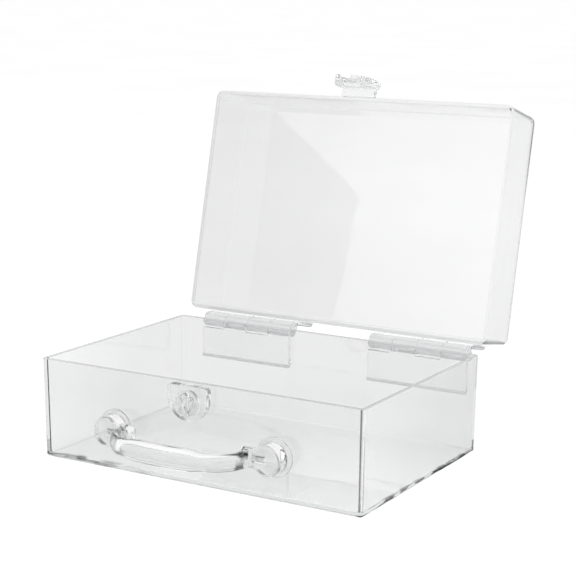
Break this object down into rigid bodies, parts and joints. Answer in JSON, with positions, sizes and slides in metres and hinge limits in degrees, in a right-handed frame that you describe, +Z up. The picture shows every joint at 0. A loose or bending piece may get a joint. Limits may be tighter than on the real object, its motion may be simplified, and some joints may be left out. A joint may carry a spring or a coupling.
{
  "type": "storage box",
  "caption": "Clear plastic box shaped like a small suitcase, with a hinged lid standing open, a bow handle that turns in round feet, and a turn-button clasp.",
  "frame": {"origin": "middle of the base's underside", "axes": "+X to the right of the clasp side, -Y towards the clasp side, +Z up; the lid is hinged along +Y"},
  "size_m": [0.208, 0.2527, 0.2146],
  "materials": {
    "base_tray_plastic": "clear, polished",
    "lid_tray_plastic": "clear, polished",
    "left_hinge_base_leaf_plastic": "clear, polished",
    "left_hinge_lid_leaf_plastic": "clear, polished",
    "left_hinge_pin_plastic": "clear, polished",
    "right_hinge_base_leaf_plastic": "clear, polished",
    "right_hinge_lid_leaf_plastic": "clear, polished",
    "right_hinge_pin_plastic": "clear, polished",
    "clasp_plate_plastic": "clear, polished",
    "turn_button_plastic": "clear, polished",
    "clasp_tongue_plastic": "clear, polished",
    "handle_bow_plastic": "clear, polished",
    "handle_foot_left_plastic": "clear, polished",
    "handle_foot_right_plastic": "clear, polished"
  },
  "bodies": {
    "base": {"base_tray": "base_tray_plastic", "left_hinge_base_leaf": "left_hinge_base_leaf_plastic", "left_hinge_pin": "left_hinge_pin_plastic", "right_hinge_base_leaf": "right_hinge_base_leaf_plastic", "right_hinge_pin": "right_hinge_pin_plastic", "clasp_plate": "clasp_plate_plastic", "handle_foot_left": "handle_foot_left_plastic", "handle_foot_right": "handle_foot_right_plastic"},
    "lid": {"lid_tray": "lid_tray_plastic", "left_hinge_lid_leaf": "left_hinge_lid_leaf_plastic", "right_hinge_lid_leaf": "right_hinge_lid_leaf_plastic", "clasp_tongue": "clasp_tongue_plastic"},
    "handle": {"handle_bow": "handle_bow_plastic"},
    "button": {"turn_button": "turn_button_plastic"}
  },
  "joints": [
    {"name": "lid_hinge", "type": "hinge", "parent": "base", "child": "lid", "pos_m": [0, 0.0767, 0.0565], "axis": [1, 0, 0], "range_deg": [0, 103.2]},
    {"name": "handle_pivot", "type": "hinge", "parent": "base", "child": "handle", "pos_m": [0, -0.0789, 0.025], "axis": [1, 0, 0], "range_deg": [-50, 45]},
    {"name": "button_turn", "type": "hinge", "parent": "base", "child": "button", "pos_m": [-0.001, -0.0713, 0.0467], "axis": [0, 1, 0], "range_deg": [0, 90]}
  ]
}
